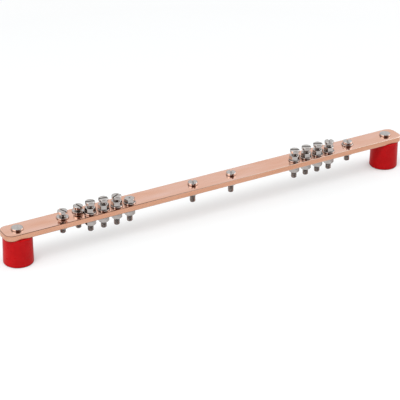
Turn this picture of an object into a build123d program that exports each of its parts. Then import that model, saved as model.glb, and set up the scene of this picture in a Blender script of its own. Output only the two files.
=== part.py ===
"""Earth terminal bar: a copper bar on two red insulators, with thirteen M6 terminals.

The frame has X along the bar, Y across it (-Y towards the viewer) and +Z up.  The origin is the
middle of the footprint, so the insulators stand on Z = 0.  All sizes are millimetres.
"""
from build123d import *
from math import cos, radians, sqrt, tan
import os

# Copper bar
bar_length = 482.0
bar_width = 25.0
bar_thickness = 6.0
bar_corner_radius = 8.0
bar_edge_radius = 0.4
end_bolt_margin = 16.0

# Moulded insulators, wider at the foot so that they leave the mould
insulator_height = 30.0
insulator_foot_diameter = 31.0
insulator_top_diameter = 30.2
insulator_rim_radius = 0.8

# Hexagonal brass inserts moulded into both faces of each insulator
insert_across_flats = 10.0
insert_length = 11.0
insert_groove_width = 2.0
insert_groove_depth = 0.7

# M6 thread, drawn as its outer cylinder
thread_diameter = 6.0
thread_play = 0.05
clearance_hole_play = 0.3
washer_bore_play = 0.2
tip_chamfer = 0.5

# Round bolts that hold the bar down on the insulators
end_bolt_head_diameter = 12.0
end_bolt_head_height = 2.3
end_bolt_rim_radius = 0.4
end_bolt_foot_radius = 0.35
end_bolt_tip_clearance = 1.0

# Slotted pan-head screws
pan_head_diameter = 10.2
pan_head_height = 3.1
pan_rim_radius = 0.6
pan_foot_radius = 0.35
slot_width = 1.6
slot_depth = 1.5

# Hexagon bolt, hexagon nuts and plain washers
hex_across_flats = 10.0
hex_head_height = 4.0
hex_chamfer_angle = 30.0
hex_dimple_diameter = 2.0
hex_dimple_depth = 0.5
nut_height = 5.0
nut_countersink = 0.45
washer_outer_diameter = 12.5
washer_thickness = 1.6
washer_edge_radius = 0.3

# Screw lengths below the head
stud_screw_length = 30.0
stud_bolt_length = 22.0
tall_screw_length = 22.0
short_screw_length = 20.0

# Where the terminals stand, counted inwards from the end bolts
outer_left_inset = 50.0
outer_right_inset = 51.2
offset_screw_inset = 19.5
offset_screw_offset = 4.0
offset_washer_gap = 0.25
stud_row_offset = -4.5
stud_washer_gap = 2.5
studs_per_row = 4
centre_screw_distance = 23.5

# Open height left under each screw head for a cable lug, outermost stud first
left_stud_gaps = (3.5, 3.4, 2.8)
right_stud_gaps = (3.3, 3.65, 3.55, 3.35)
outer_left_gap = 3.7
offset_gap = 2.35

# Slot directions in plan, outermost stud first
left_stud_slots = (-16.0, -8.0, 26.0)
right_stud_slots = (59.0, -28.0, -31.0, -31.0)
outer_left_slot = -69.0
offset_slot = -79.0
outer_right_slot = 59.0
centre_left_slot = 66.0
centre_right_slot = 59.0

# Angles that the hexagons on top of the bar stopped at, outermost first, and those under it
left_hexagon_turns = (32.0, 38.0, 38.0, 46.0)
right_hexagon_turns = (46.0, 43.0, 45.0, 33.0)
lower_nut_turn = 29.0

# Heights that the pieces share
bar_bottom = insulator_height
bar_top = bar_bottom + bar_thickness
threaded_hole_diameter = thread_diameter + 2 * thread_play
clearance_hole_diameter = thread_diameter + 2 * clearance_hole_play
washer_inner_diameter = thread_diameter + 2 * washer_bore_play
end_bolt_length = bar_thickness + insert_length - end_bolt_tip_clearance
insulator_x = bar_length / 2 - end_bolt_margin
top_insert_bottom = insulator_height - insert_length
above_washer = bar_top + washer_thickness
above_upper_nut = above_washer + nut_height
below_washer = bar_bottom - washer_thickness

os.makedirs("parts", exist_ok=True)
written = []


def save(piece, name):
    """Label a finished piece and write it as its own STEP file."""
    piece.label = name
    export_step(piece, f"parts/{name}.step")
    written.append(name)


def upright(x, y, turn=0.0, height=0.0):
    """A horizontal work plane at a point of the bar, turned about the vertical."""
    return Plane(origin=(x, y, height), x_dir=Vector(1, 0, 0).rotate(Axis.Z, turn), z_dir=(0, 0, 1))


def section(x, y):
    """A vertical work plane through a screw's axis, for a profile of radius against height."""
    return Plane(origin=(x, y, 0), x_dir=(1, 0, 0), z_dir=(0, -1, 0))


def axis_at(x, y):
    """The vertical axis of a screw."""
    return Axis((x, y, 0), (0, 0, 1))


def chamfered_hexagon(x, y, turn, bottom, height, across_flats, both_ends):
    """Hexagonal prism whose corners are turned off at 30 degrees, as on a bolt head or a nut."""
    flat_radius = across_flats / 2
    outside = flat_radius / cos(radians(30)) + 0.5
    drop = (outside - flat_radius) * tan(radians(hex_chamfer_angle))
    top = bottom + height
    with BuildPart() as hexagon:
        with BuildSketch(upright(x, y, turn, bottom)):
            RegularPolygon(flat_radius, 6, major_radius=False)
        extrude(amount=height)
        with BuildSketch(section(x, y)):
            with BuildLine():
                Polyline((flat_radius, top), (outside, top), (outside, top - drop), close=True)
            make_face()
            if both_ends:
                with BuildLine():
                    Polyline((flat_radius, bottom), (outside, bottom), (outside, bottom + drop), close=True)
                make_face()
        revolve(axis=axis_at(x, y), mode=Mode.SUBTRACT)
    return hexagon.part


def shank(x, y, seat, length):
    """Threaded shank of a screw, from the seat of its head down to a chamfered tip."""
    radius = thread_diameter / 2
    tip = seat - length
    with BuildPart() as rod:
        with BuildSketch(section(x, y)):
            with BuildLine():
                Polyline((0, seat), (radius, seat), (radius, tip + tip_chamfer),
                         (radius - tip_chamfer, tip), (0, tip), close=True)
            make_face()
        revolve(axis=axis_at(x, y))
    return rod.part


def pan_head_screw(x, y, seat, length, slot_angle):
    """Slotted screw: its head is a low drum, rounded at the top rim and a little under the foot."""
    top = seat + pan_head_height
    rod = shank(x, y, seat, length)
    with BuildPart() as screw:
        with BuildSketch(upright(x, y, 0, seat)):
            Circle(pan_head_diameter / 2)
        extrude(amount=pan_head_height)
        fillet(screw.edges().filter_by(GeomType.CIRCLE).sort_by(Axis.Z)[-1], pan_rim_radius)
        fillet(screw.edges().filter_by(GeomType.CIRCLE).sort_by(Axis.Z)[0], pan_foot_radius)
        with BuildSketch(upright(x, y, slot_angle, top)):
            Rectangle(2 * pan_head_diameter, slot_width)
        extrude(amount=-slot_depth, mode=Mode.SUBTRACT)
        add(rod)
    return screw.part


def hexagon_bolt(x, y, seat, length, turn):
    """Hexagon-head bolt with the small dimple that forging leaves in the top of its head."""
    top = seat + hex_head_height
    head = chamfered_hexagon(x, y, turn, seat, hex_head_height, hex_across_flats, False)
    rod = shank(x, y, seat, length)
    with BuildPart() as bolt:
        add(head)
        with BuildSketch(upright(x, y, 0, top)):
            Circle(hex_dimple_diameter / 2)
        extrude(amount=-hex_dimple_depth, mode=Mode.SUBTRACT)
        add(rod)
    return bolt.part


def hexagon_nut(x, y, bottom, turn):
    """Hexagon nut, chamfered on both faces, with a countersunk bore."""
    bore = threaded_hole_diameter / 2
    mouth = bore + nut_countersink
    top = bottom + nut_height
    blank = chamfered_hexagon(x, y, turn, bottom, nut_height, hex_across_flats, True)
    with BuildPart() as nut:
        add(blank)
        with BuildSketch(section(x, y)):
            with BuildLine():
                Polyline((0, bottom), (mouth, bottom), (bore, bottom + nut_countersink),
                         (bore, top - nut_countersink), (mouth, top), (0, top), close=True)
            make_face()
        revolve(axis=axis_at(x, y), mode=Mode.SUBTRACT)
    return nut.part


def plain_washer(x, y, bottom):
    """Flat ring that spreads the load of a head or a nut, with its outer edges rounded."""
    with BuildPart() as washer:
        with BuildSketch(upright(x, y, 0, bottom)):
            Circle(washer_outer_diameter / 2)
            Circle(washer_inner_diameter / 2, mode=Mode.SUBTRACT)
        extrude(amount=washer_thickness)
        fillet(washer.edges().filter_by(GeomType.CIRCLE).sort_by(SortBy.RADIUS)[-2:], washer_edge_radius)
    return washer.part


# The terminals' places in plan.  The offset screw's washer just clears the outermost stud's, and the
# studs are listed from the outermost inwards.
outer_screw_distance = insulator_x - outer_left_inset
row_step_across = offset_screw_offset - stud_row_offset
washers_apart = washer_outer_diameter + offset_washer_gap
row_step_along = sqrt(washers_apart ** 2 - row_step_across ** 2)
outermost_stud = outer_screw_distance - offset_screw_inset - row_step_along
stud_pitch = washer_outer_diameter + stud_washer_gap
stud_distances = [outermost_stud - stud_pitch * step for step in range(studs_per_row)]
left_studs = [(-distance, stud_row_offset) for distance in stud_distances]
right_studs = [(distance, stud_row_offset) for distance in stud_distances]
outer_left = (-outer_screw_distance, 0.0)
outer_right = (insulator_x - outer_right_inset, 0.0)
offset_place = (-outer_screw_distance + offset_screw_inset, offset_screw_offset)
centre_left = (-centre_screw_distance, 0.0)
centre_right = (centre_screw_distance, 0.0)
tapped_places = [outer_left, offset_place, centre_left, centre_right, outer_right]
clear_places = [(-insulator_x, 0.0), (insulator_x, 0.0)] + left_studs + right_studs

# Copper bar with rounded corners, softened edges, tapped holes and clearance holes
with BuildPart() as copper_bar:
    with BuildSketch(Plane.XY.offset(bar_bottom)):
        RectangleRounded(bar_length, bar_width, bar_corner_radius)
    extrude(amount=bar_thickness)
    fillet(copper_bar.faces().filter_by(Axis.Z).edges(), bar_edge_radius)
    with BuildSketch(Plane.XY.offset(bar_bottom)):
        with Locations(*tapped_places):
            Circle(threaded_hole_diameter / 2)
        with Locations(*clear_places):
            Circle(clearance_hole_diameter / 2)
    extrude(amount=bar_thickness, mode=Mode.SUBTRACT)
save(copper_bar.part, "copper_bar")

# One insulator, its two inserts and its end bolt at each end of the bar
for side, x in (("left", -insulator_x), ("right", insulator_x)):
    insert_pockets = []
    for face, bottom in (("top", top_insert_bottom), ("foot", 0.0)):
        groove = bottom + insert_length / 2
        with BuildPart() as insert:
            with BuildSketch(upright(x, 0, 0, bottom)):
                RegularPolygon(insert_across_flats / 2, 6, major_radius=False)
            extrude(amount=insert_length)
            with BuildSketch(upright(x, 0, 0, groove - insert_groove_width / 2)):
                Circle(insert_across_flats)
                Circle(insert_across_flats / 2 - insert_groove_depth, mode=Mode.SUBTRACT)
            extrude(amount=insert_groove_width, mode=Mode.SUBTRACT)
        insert_pockets.append(insert.part)
        with BuildPart() as threaded_insert:
            add(insert.part)
            with BuildSketch(upright(x, 0, 0, bottom)):
                Circle(threaded_hole_diameter / 2)
            extrude(amount=insert_length, mode=Mode.SUBTRACT)
        save(threaded_insert.part, f"insulator_{side}_{face}_insert")

    with BuildPart() as insulator:
        with BuildSketch(section(x, 0)):
            with BuildLine():
                Polyline((0, 0), (insulator_foot_diameter / 2, 0),
                         (insulator_top_diameter / 2, insulator_height), (0, insulator_height), close=True)
            make_face()
        revolve(axis=axis_at(x, 0))
        fillet(insulator.edges().filter_by(GeomType.CIRCLE), insulator_rim_radius)
        for pocket in insert_pockets:
            add(pocket, mode=Mode.SUBTRACT)
    save(insulator.part, f"insulator_{side}")

    end_bolt_shank = shank(x, 0, bar_top, end_bolt_length)
    with BuildPart() as end_bolt:
        with BuildSketch(upright(x, 0, 0, bar_top)):
            Circle(end_bolt_head_diameter / 2)
        extrude(amount=end_bolt_head_height)
        fillet(end_bolt.edges().filter_by(GeomType.CIRCLE).sort_by(Axis.Z)[-1], end_bolt_rim_radius)
        fillet(end_bolt.edges().filter_by(GeomType.CIRCLE).sort_by(Axis.Z)[0], end_bolt_foot_radius)
        add(end_bolt_shank)
    save(end_bolt.part, f"end_bolt_{side}")

# Studs: a washer and a nut on the bar, the screw through them, a washer and a nut underneath
hexagon_bolt_place = left_studs[-1]
for side, places, gaps, slots, turns in (
    ("left", left_studs, left_stud_gaps, left_stud_slots, left_hexagon_turns),
    ("right", right_studs, right_stud_gaps, right_stud_slots, right_hexagon_turns),
):
    for number, (x, y) in enumerate(places, start=1):
        name = f"stud_{side}_{number}"
        turn = turns[number - 1]
        save(plain_washer(x, y, bar_top), f"{name}_upper_washer")
        if (x, y) == hexagon_bolt_place:
            save(hexagon_bolt(x, y, above_washer, stud_bolt_length, turn), f"{name}_bolt")
        else:
            seat = above_upper_nut + gaps[number - 1]
            save(hexagon_nut(x, y, above_washer, turn), f"{name}_upper_nut")
            save(pan_head_screw(x, y, seat, stud_screw_length, slots[number - 1]), f"{name}_screw")
        save(hexagon_nut(x, y, below_washer - nut_height, lower_nut_turn), f"{name}_lower_nut")
    lower_washers = Compound(children=[plain_washer(x, y, below_washer) for x, y in places])
    save(lower_washers, f"studs_{side}_lower_washers")

# Screws in the bar's tapped holes, each locked by a nut underneath
lock_nut_bottom = bar_bottom - nut_height
for name, (x, y), seat, length, slot in (
    ("outer_left", outer_left, above_washer + outer_left_gap, tall_screw_length, outer_left_slot),
    ("offset_left", offset_place, above_washer + offset_gap, tall_screw_length, offset_slot),
    ("centre_left", centre_left, bar_top, short_screw_length, centre_left_slot),
    ("centre_right", centre_right, bar_top, short_screw_length, centre_right_slot),
    ("outer_right", outer_right, above_washer, short_screw_length, outer_right_slot),
):
    if seat > bar_top:
        save(plain_washer(x, y, bar_top), f"{name}_washer")
    save(pan_head_screw(x, y, seat, length, slot), f"{name}_screw")
    save(hexagon_nut(x, y, lock_nut_bottom, slot), f"{name}_lock_nut")

print(f"{len(written)} files")
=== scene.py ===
"""Looks of the earth terminal bar: copper bar, red insulators and plated M6 fasteners."""

import bmesh
import bpy
from math import cos, pi, radians, sin
from mathutils import Matrix, Vector


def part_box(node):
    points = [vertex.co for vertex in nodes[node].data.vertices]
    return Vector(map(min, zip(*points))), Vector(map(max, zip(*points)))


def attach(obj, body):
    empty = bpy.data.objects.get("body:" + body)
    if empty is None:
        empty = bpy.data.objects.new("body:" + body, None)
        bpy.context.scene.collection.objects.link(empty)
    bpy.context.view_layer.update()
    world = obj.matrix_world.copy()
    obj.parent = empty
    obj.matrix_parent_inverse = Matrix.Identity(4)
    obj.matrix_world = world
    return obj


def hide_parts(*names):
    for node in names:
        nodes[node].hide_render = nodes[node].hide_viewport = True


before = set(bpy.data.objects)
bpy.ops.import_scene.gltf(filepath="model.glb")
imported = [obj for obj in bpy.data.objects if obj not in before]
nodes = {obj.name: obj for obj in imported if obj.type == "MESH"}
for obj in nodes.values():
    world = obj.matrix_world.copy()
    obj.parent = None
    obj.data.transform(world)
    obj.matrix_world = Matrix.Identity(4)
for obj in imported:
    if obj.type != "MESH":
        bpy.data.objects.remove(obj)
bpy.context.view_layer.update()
bpy.context.scene.view_settings.view_transform = "Standard"

# Camera.  It stands at the front left, a little above the bar, as the photographer did.
# Its place was fitted to the bar's edges, the insulators and the fasteners.
camera_turn = radians(30.81)
camera_height_angle = radians(27.21)
camera_roll = radians(0.70)
camera_distance = 1.7217
camera_aim = Vector((-0.01443, 0.0, 0.02256))
camera_lens = 147.04
camera_sensor = 36.0
camera_rise = -0.0158
farthest_view = 20.0
away = Vector((-sin(camera_turn) * cos(camera_height_angle),
               -cos(camera_turn) * cos(camera_height_angle), sin(camera_height_angle)))
level_right = Vector((cos(camera_turn), -sin(camera_turn), 0.0))
level_up = away.cross(level_right)
right = level_right * cos(camera_roll) + level_up * sin(camera_roll)
up = level_up * cos(camera_roll) - level_right * sin(camera_roll)
camera_data = bpy.data.cameras.new("camera")
camera_data.lens = camera_lens
camera_data.sensor_width = camera_sensor
camera_data.shift_y = camera_rise
camera_data.clip_end = farthest_view
camera = bpy.data.objects.new("camera", camera_data)
camera.matrix_world = Matrix.Translation(camera_aim + away * camera_distance) @ Matrix(
    (right, up, away)).transposed().to_4x4()
bpy.context.scene.collection.objects.link(camera)
bpy.context.scene.camera = camera

# Copper bar.  Flat rolled copper, 482 x 25 x 6 mm, sawn to length with its corners filed round.
# The wide faces are polished along the bar and the narrow ones are duller; the narrow ones also take a
# darker tone, a painted shade.  A painted reflection follows the rounded edges: a dark line at the
# left end turning to a bright glint towards the right.  Painted shade darkens the copper in its holes
# and where the fasteners and insulators meet it.
millimetre = 0.001
black = (0.0, 0.0, 0.0)
white = (1.0, 1.0, 1.0)
# Most of the noise lies between these two values.
noise_low = 0.3
noise_high = 0.7


def material(name):
    """A new node material: the material, its tree and its surface shader."""
    made = bpy.data.materials.new(name)
    made.use_nodes = True
    tree = made.node_tree
    return made, tree, tree.nodes["Principled BSDF"]


def dress(piece, look):
    """Give a piece one material."""
    piece.data.materials.clear()
    piece.data.materials.append(look)


def feed(tree, value, socket):
    """Link an output to a socket, or set the socket to a plain value."""
    if isinstance(value, bpy.types.NodeSocket):
        tree.links.new(value, socket)
    else:
        socket.default_value = value


def arithmetic(tree, operation, first, second=0.0):
    """One operation on two numbers, each an output or a plain value."""
    node = tree.nodes.new("ShaderNodeMath")
    node.operation = operation
    feed(tree, first, node.inputs[0])
    feed(tree, second, node.inputs[1])
    return node.outputs["Value"]


def mix(tree, kind, factor, first, second, blend="MIX"):
    """Mix two colours, vectors or numbers by a factor."""
    node = tree.nodes.new("ShaderNodeMix")
    node.data_type = kind
    node.blend_type = blend
    feed(tree, factor, node.inputs["Factor"])
    feed(tree, first, node.inputs["A"])
    feed(tree, second, node.inputs["B"])
    return node.outputs["Result"]


def one_axis(tree, vector, axis):
    """The part of a vector along X, Y or Z."""
    node = tree.nodes.new("ShaderNodeSeparateXYZ")
    tree.links.new(vector, node.inputs["Vector"])
    return node.outputs[axis]


def place_texture(tree, stretch):
    """Object coordinates in millimetres, stretched by a factor along each axis."""
    where = tree.nodes.new("ShaderNodeTexCoord")
    mapping = tree.nodes.new("ShaderNodeMapping")
    mapping.inputs["Scale"].default_value = [value / millimetre for value in stretch]
    tree.links.new(where.outputs["Object"], mapping.inputs["Vector"])
    return mapping.outputs["Vector"]


def noise(tree, vector, per_mm, detail, roughness=0.5):
    """Noise of a given number of spots per millimetre."""
    node = tree.nodes.new("ShaderNodeTexNoise")
    node.inputs["Scale"].default_value = per_mm
    node.inputs["Detail"].default_value = detail
    node.inputs["Roughness"].default_value = roughness
    tree.links.new(vector, node.inputs["Vector"])
    return node.outputs["Fac"]


def ramp(tree, value, stops):
    """Colour ramp with (position, colour) stops."""
    node = tree.nodes.new("ShaderNodeValToRGB")
    while len(node.color_ramp.elements) < len(stops):
        node.color_ramp.elements.new(position=0.5)
    for element, (position, colour) in zip(node.color_ramp.elements, stops):
        element.position = position
        element.color = (*colour, 1.0)
    tree.links.new(value, node.inputs["Fac"])
    return node.outputs["Color"]


def remap(tree, value, start, end, low=0.0, high=1.0):
    """Map the range from start to end onto the range from low to high."""
    node = tree.nodes.new("ShaderNodeMapRange")
    node.inputs["From Min"].default_value = start
    node.inputs["From Max"].default_value = end
    node.inputs["To Min"].default_value = low
    node.inputs["To Max"].default_value = high
    tree.links.new(value, node.inputs["Value"])
    return node.outputs["Result"]


def uneven(tree, spots, low, high):
    """A roughness that wanders between low and high with noise."""
    return remap(tree, spots, noise_low, noise_high, low, high)


def bump(tree, height, depth_mm, strength):
    """Surface relief of a depth in millimetres."""
    node = tree.nodes.new("ShaderNodeBump")
    node.inputs["Distance"].default_value = depth_mm * millimetre
    node.inputs["Strength"].default_value = strength
    tree.links.new(height, node.inputs["Height"])
    return node


def painted_crevice_shade(tree, colour, reach_mm, dark):
    """Darken a colour in slots and where pieces meet, by how closed in each point is: painted shade.
    """
    closeness = tree.nodes.new("ShaderNodeAmbientOcclusion")
    closeness.inputs["Distance"].default_value = reach_mm * millimetre
    return mix(tree, "RGBA", closeness.outputs["AO"], (*dark, 1.0), colour)


wide_face_tones = [
    (0.30, (0.90, 0.49, 0.345)), (0.50, (0.935, 0.555, 0.42)), (0.72, (0.96, 0.61, 0.50))]
# The narrow faces take a darker tone than the wide ones, a painted shade.
narrow_face_shade_tones = [(0.30, (0.86, 0.445, 0.285)), (0.70, (0.92, 0.51, 0.35))]
copper_crevice_shade = (0.28, 0.13, 0.08)
# Tones of the painted reflection on the rounded edges, from the place along the bar where it is
# darkest to where it is brightest.
painted_edge_reflection_tones = [(0.0, (0.10, 0.045, 0.03)), (1.0, (0.98, 0.80, 0.68))]
painted_reflection_darkest = -0.10
painted_reflection_brightest = 0.05
# How far a facet faces up or down is 0 on the narrow faces, 1 on the wide ones and between the
# two on the rounded edges.  The first ramp picks out the edges and the second the wide faces.
rounded_edges = [(0.02, black), (0.06, white), (0.97, white), (0.995, black)]
wide_faces = [(0.995, black), (0.999, white)]
copper, tree, shader = material("polished_copper")
shader.inputs["Metallic"].default_value = 1.0
drawn = place_texture(tree, stretch=(0.012, 1.0, 1.0))
clouds = place_texture(tree, stretch=(0.25, 1.0, 1.0))
wide_tone = ramp(tree, noise(tree, clouds, per_mm=0.09, detail=3.0), wide_face_tones)
narrow_shade_tone = ramp(tree, noise(tree, clouds, per_mm=0.2, detail=3.0), narrow_face_shade_tones)
facet = tree.nodes.new("ShaderNodeNewGeometry")
upwards = arithmetic(tree, "ABSOLUTE", one_axis(tree, facet.outputs["True Normal"], "Z"))
face_tone = mix(tree, "RGBA", upwards, narrow_shade_tone, wide_tone)
where = tree.nodes.new("ShaderNodeTexCoord")
along = one_axis(tree, where.outputs["Object"], "X")
# The painted reflection on the rounded edges: dark at the left end, a bright glint towards the right.
painted_edge_reflection = ramp(tree, remap(tree, along, painted_reflection_darkest, painted_reflection_brightest), painted_edge_reflection_tones)
tone = mix(tree, "RGBA", ramp(tree, upwards, rounded_edges), face_tone, painted_edge_reflection)
# Painted shade: the copper is darker where it is closed in, in its holes and where other pieces meet
# it.
tree.links.new(painted_crevice_shade(tree, tone, reach_mm=1.5, dark=copper_crevice_shade), shader.inputs["Base Color"])
narrow_finish = uneven(
    tree, noise(tree, drawn, per_mm=2.0, detail=4.0, roughness=0.6), low=0.24, high=0.32)
wide_finish = uneven(
    tree, noise(tree, drawn, per_mm=3.0, detail=6.0, roughness=0.6), low=0.09, high=0.12)
tree.links.new(mix(tree, "FLOAT", upwards, narrow_finish, wide_finish), shader.inputs["Roughness"])
relief = bump(
    tree, noise(tree, drawn, per_mm=4.0, detail=5.0, roughness=0.65), depth_mm=0.01, strength=0.06)
level = mix(tree, "VECTOR", ramp(tree, upwards, wide_faces), facet.outputs["Normal"],
            facet.outputs["True Normal"])
tree.links.new(level, relief.inputs["Normal"])
tree.links.new(relief.outputs["Normal"], shader.inputs["Normal"])
dress(nodes["copper_bar"], copper)

# Insulators.  Compression-moulded red polyester, 31 mm across and 30 mm tall, glossy from the
# mould, with a faint skin and fine glass fibre under it.  The brass inserts are moulded in.
red_tones = [(0.30, (0.47, 0.003, 0.005)), (0.55, (0.51, 0.004, 0.006)), (0.80, (0.55, 0.006, 0.008))]
red_crevice_shade = (0.16, 0.002, 0.003)
red_shine_level = 0.10
red, tree, shader = material("red_polyester")
skin = place_texture(tree, stretch=(1.0, 1.0, 1.0))
tone = ramp(tree, noise(tree, skin, per_mm=0.18, detail=4.0), red_tones)
# Painted shade: the red is darker where it is closed in, under the bar and at the foot on the floor.
tree.links.new(painted_crevice_shade(tree, tone, reach_mm=2.0, dark=red_crevice_shade), shader.inputs["Base Color"])
finish = uneven(tree, noise(tree, skin, per_mm=0.5, detail=3.0), low=0.26, high=0.36)
tree.links.new(finish, shader.inputs["Roughness"])
shader.inputs["Specular IOR Level"].default_value = red_shine_level
relief = bump(tree, noise(tree, skin, per_mm=0.5, detail=2.0), depth_mm=0.03, strength=0.12)
tree.links.new(relief.outputs["Normal"], shader.inputs["Normal"])
for side in ("left", "right"):
    dress(nodes[f"insulator_{side}"], red)

# Threaded inserts.  Turned from hexagon brass bar, with a groove round the middle that the
# plastic grips, and tapped M6.
brass_tones = [(0.35, (0.55, 0.36, 0.11)), (0.65, (0.68, 0.48, 0.18))]
insert_brass, tree, shader = material("turned_brass")
shader.inputs["Metallic"].default_value = 1.0
turned = place_texture(tree, stretch=(1.0, 1.0, 3.0))
tone = ramp(tree, noise(tree, turned, per_mm=0.6, detail=4.0), brass_tones)
tree.links.new(tone, shader.inputs["Base Color"])
finish = uneven(tree, noise(tree, turned, per_mm=1.5, detail=4.0), low=0.25, high=0.40)
tree.links.new(finish, shader.inputs["Roughness"])
relief = bump(tree, noise(tree, turned, per_mm=3.0, detail=3.0), depth_mm=0.02, strength=0.4)
tree.links.new(relief.outputs["Normal"], shader.inputs["Normal"])
for side in ("left", "right"):
    for face in ("top", "foot"):
        insert = nodes[f"insulator_{side}_{face}_insert"]
        dress(insert, insert_brass)

# Nuts and washers.  Zinc-plated steel with a bright finish: the nuts are cold formed and the
# washers are stamped from sheet, so both carry fine marks and softened edges.
plating_tones = [(0.30, (0.53, 0.50, 0.48)), (0.55, (0.61, 0.58, 0.56)), (0.80, (0.69, 0.66, 0.645))]
plating_crevice_shade = (0.07, 0.045, 0.035)
edge_softness = 0.00018
plated, tree, shader = material("bright_plating")
shader.inputs["Metallic"].default_value = 1.0
worn = place_texture(tree, stretch=(1.0, 1.0, 1.0))
tone = ramp(tree, noise(tree, worn, per_mm=0.35, detail=5.0), plating_tones)
# Painted shade: the plating is darker in the slots, the thread roots and where the pieces meet.
tree.links.new(painted_crevice_shade(tree, tone, reach_mm=1.7, dark=plating_crevice_shade), shader.inputs["Base Color"])
finish = uneven(tree, noise(tree, worn, per_mm=0.9, detail=5.0), low=0.07, high=0.18)
tree.links.new(finish, shader.inputs["Roughness"])
relief = bump(tree, noise(tree, worn, per_mm=1.2, detail=3.0), depth_mm=0.02, strength=0.2)
soft_edges = tree.nodes.new("ShaderNodeBevel")
soft_edges.inputs["Radius"].default_value = edge_softness
tree.links.new(soft_edges.outputs["Normal"], relief.inputs["Normal"])
tree.links.new(relief.outputs["Normal"], shader.inputs["Normal"])
for name, node in nodes.items():
    if name.endswith(("nut", "washer", "washers")):
        dress(node, plated)

# End bolts.  Round heads in the same plated steel, polished flat on top, that clamp the bar to
# the insulators.  Their shanks are hidden in the bar and the inserts.
for side in ("left", "right"):
    dress(nodes[f"end_bolt_{side}"], plated)

# Terminal screws.  Plated steel with a rolled M6 thread of 1 mm pitch.  Each keeps its CAD head
# and takes a real helical thread in place of the plain shank, no wider than the CAD shank.
thread_pitch = 0.001
thread_crest = 0.003
thread_root = 0.00243
crest_start = 0.44
crest_end = 0.56
steps_per_turn = 36
turns_below_tip = 1.5
spare_turns = 3
tip_radius = 0.0023
pan_head_height = 0.0031
hexagon_head_height = 0.004
cut_margin = 0.00001
# Share of a turn's rise and the radius there, from one root over the crest to the next root.
thread_profile = (
    (0.0, thread_root), (crest_start, thread_crest), (crest_end, thread_crest), (1.0, thread_root))


def threaded_shank(x, y, seat, tip):
    """Vertices and faces of a helical thread from the tip up to the seat of the head."""
    vertices = []
    faces = []
    turns = int((seat - tip) / thread_pitch) + spare_turns
    columns = len(thread_profile)
    for step in range(turns * steps_per_turn + 1):
        angle = 2 * pi * step / steps_per_turn
        base = tip + thread_pitch * (step / steps_per_turn - turns_below_tip)
        for rise, radius in thread_profile:
            height = min(max(base + rise * thread_pitch, tip), seat)
            reach = min(radius, tip_radius + height - tip)
            vertices.append((x + reach * cos(angle), y + reach * sin(angle), height))
        if step:
            start = len(vertices) - 2 * columns
            for column in range(columns - 1):
                low = start + column
                faces.append((low, low + columns, low + columns + 1, low + 1))
    ring = len(vertices)
    for step in range(steps_per_turn):
        angle = 2 * pi * step / steps_per_turn
        vertices.append((x + tip_radius * cos(angle), y + tip_radius * sin(angle), tip))
    faces.append(tuple(reversed(range(ring, ring + steps_per_turn))))
    return vertices, faces


for name in sorted(nodes):
    hexagon_headed = name.startswith("stud") and name.endswith("_bolt")
    if not (hexagon_headed or name.endswith("_screw")):
        continue
    low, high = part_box(name)
    x = (low.x + high.x) / 2
    y = (low.y + high.y) / 2
    seat = high.z - (hexagon_head_height if hexagon_headed else pan_head_height)
    head = bmesh.new()
    head.from_mesh(nodes[name].data)
    bmesh.ops.bisect_plane(head, geom=head.verts[:] + head.edges[:] + head.faces[:],
                           plane_co=(0, 0, seat - cut_margin), plane_no=(0, 0, 1), clear_inner=True)
    vertices, faces = threaded_shank(x, y, seat, low.z)
    shank_mesh = bpy.data.meshes.new(f"{name}_thread")
    shank_mesh.from_pydata(vertices, [], faces)
    head.from_mesh(shank_mesh)
    bpy.data.meshes.remove(shank_mesh)
    mesh = bpy.data.meshes.new(f"{name}_threaded")
    head.to_mesh(mesh)
    head.free()
    piece = bpy.data.objects.new(f"{name}_threaded", mesh)
    dress(piece, plated)
    bpy.context.scene.collection.objects.link(piece)
    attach(piece, "root")
    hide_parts(name)

# Floor.  A sheet of white paper that keeps the soft shadow of the bar and its insulators; a painted
# contact shadow darkens it most where their feet stand on it.  It fades into the white room, and is
# clear when seen from below.
floor_size = 0.9
floor_drop = 0.0002
fade_start = 0.45
fade_end = 0.75
contact_reach = 0.010
lit_paper_tone = (0.795, 0.825, 0.835)
mirrored_paper_tone = (0.52, 0.52, 0.52)
# How much plain white is laid over the paper, as the camera sees it and as reflections show it.
white_seen = 0.50
white_mirrored = 0.16


def mix_shaders(tree, factor, first, second):
    """Mix two shaders by a factor."""
    node = tree.nodes.new("ShaderNodeMixShader")
    tree.links.new(factor, node.inputs["Fac"])
    tree.links.new(first, node.inputs[1])
    tree.links.new(second, node.inputs[2])
    return node.outputs["Shader"]


floor_mesh = bpy.data.meshes.new("floor")
floor_mesh.from_pydata([(-floor_size, -floor_size, 0), (floor_size, -floor_size, 0),
                        (floor_size, floor_size, 0), (-floor_size, floor_size, 0)], [], [(0, 1, 2, 3)])
floor = bpy.data.objects.new("floor", floor_mesh)
floor.location.z = -floor_drop
bpy.context.scene.collection.objects.link(floor)
paper = bpy.data.materials.new("white_paper")
paper.use_nodes = True
tree = paper.node_tree
tree.nodes.remove(tree.nodes["Principled BSDF"])
matt = tree.nodes.new("ShaderNodeBsdfDiffuse")
shine = tree.nodes.new("ShaderNodeEmission")
shine.inputs["Strength"].default_value = 1.0
seen = tree.nodes.new("ShaderNodeLightPath")
by_camera = seen.outputs["Is Camera Ray"]
by_reflection = seen.outputs["Is Glossy Ray"]
paper_tone = mix(tree, "RGBA", by_reflection, (*lit_paper_tone, 1.0), (*mirrored_paper_tone, 1.0))
tree.links.new(paper_tone, matt.inputs["Color"])
share = arithmetic(tree, "MAXIMUM", arithmetic(tree, "MULTIPLY", by_camera, white_seen),
                   arithmetic(tree, "MULTIPLY", by_reflection, white_mirrored))
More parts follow.
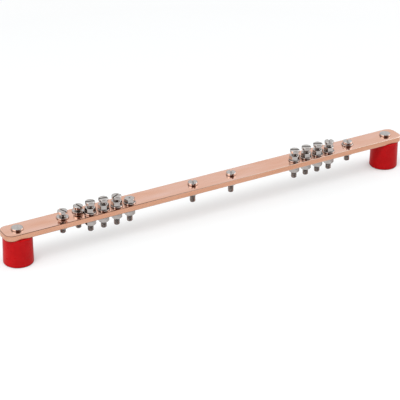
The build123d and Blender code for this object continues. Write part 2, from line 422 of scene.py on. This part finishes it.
# Painted contact shadow: less white is laid over the paper where it is closed in, by the feet.
contact = tree.nodes.new("ShaderNodeAmbientOcclusion")
contact.inputs["Distance"].default_value = contact_reach
open_share = arithmetic(tree, "MULTIPLY", share, contact.outputs["AO"])
on_floor = tree.nodes.new("ShaderNodeTexCoord")
reach = tree.nodes.new("ShaderNodeVectorMath")
reach.operation = "LENGTH"
tree.links.new(on_floor.outputs["Object"], reach.inputs[0])
fade = remap(tree, reach.outputs["Value"], fade_start, fade_end)
white_share = arithmetic(tree, "MAXIMUM", open_share, arithmetic(tree, "MULTIPLY", fade, by_camera))
from_above = mix_shaders(tree, white_share, matt.outputs["BSDF"], shine.outputs["Emission"])
underneath = tree.nodes.new("ShaderNodeNewGeometry")
clear = tree.nodes.new("ShaderNodeBsdfTransparent")
one_sided = mix_shaders(tree, underneath.outputs["Backfacing"], from_above, clear.outputs["BSDF"])
tree.links.new(one_sided, tree.nodes["Material Output"].inputs["Surface"])
floor_mesh.materials.append(paper)

# Studio.  A plain soft world, white where the camera looks at it, and three large lamps.  The
# brown, unlit end of the room and the dim band at table height give the metal its dark
# reflections.  The top lamp is kept out of them, so that the copper shows its colour from above.
unlit_direction = (-0.231, -0.861, 0.454)
# Tones by how nearly a direction points at the unlit end, from 0 to 1.
unlit_end_tones = [
    (0.0, white), (0.50, (0.95, 0.95, 0.95)), (0.76, (0.85, 0.85, 0.85)), (0.82, (0.20, 0.085, 0.055))]
# Tones by height, from the horizon at 0 to straight above at 1.
band_tone = (0.15, 0.10, 0.08)
wall_tone = (0.80, 0.80, 0.80)
room_tones = [
    (0.0, band_tone), (0.20, band_tone), (0.32, wall_tone), (0.60, wall_tone), (0.85, white)]
# Name, place, size, power, and whether reflections show the lamp.
lamps = (
    ("top_lamp", (-0.45, -0.42, 1.5), 1.0, 13.0, False),
    ("left_lamp", (-1.6, -0.1, 0.9), 1.9, 13.5, True),
    ("right_lamp", (1.6, -0.1, 0.8), 1.6, 10.5, True),
)
world = bpy.data.worlds.new("studio")
bpy.context.scene.world = world
world.use_nodes = True
tree = world.node_tree
sky = tree.nodes["Background"]
outwards = tree.nodes.new("ShaderNodeTexCoord")
towards_unlit = tree.nodes.new("ShaderNodeVectorMath")
towards_unlit.operation = "DOT_PRODUCT"
towards_unlit.inputs[1].default_value = unlit_direction
tree.links.new(outwards.outputs["Generated"], towards_unlit.inputs[0])
unlit_end = ramp(tree, towards_unlit.outputs["Value"], unlit_end_tones)
room = ramp(tree, one_axis(tree, outwards.outputs["Generated"], "Z"), room_tones)
tree.links.new(mix(tree, "RGBA", 1.0, room, unlit_end, blend="MULTIPLY"), sky.inputs["Color"])
backdrop = tree.nodes.new("ShaderNodeBackground")
backdrop.inputs["Color"].default_value = (*white, 1.0)
seen = tree.nodes.new("ShaderNodeLightPath")
surroundings = mix_shaders(tree, seen.outputs["Is Camera Ray"], sky.outputs["Background"],
                           backdrop.outputs["Background"])
tree.links.new(surroundings, tree.nodes["World Output"].inputs["Surface"])
for name, place, size, power, mirrored in lamps:
    lamp_data = bpy.data.lights.new(name, "AREA")
    lamp_data.size = size
    lamp_data.energy = power
    lamp = bpy.data.objects.new(name, lamp_data)
    lamp.location = place
    lamp.rotation_euler = (-Vector(place)).to_track_quat("-Z", "Y").to_euler()
    lamp.visible_glossy = mirrored
    bpy.context.scene.collection.objects.link(lamp)
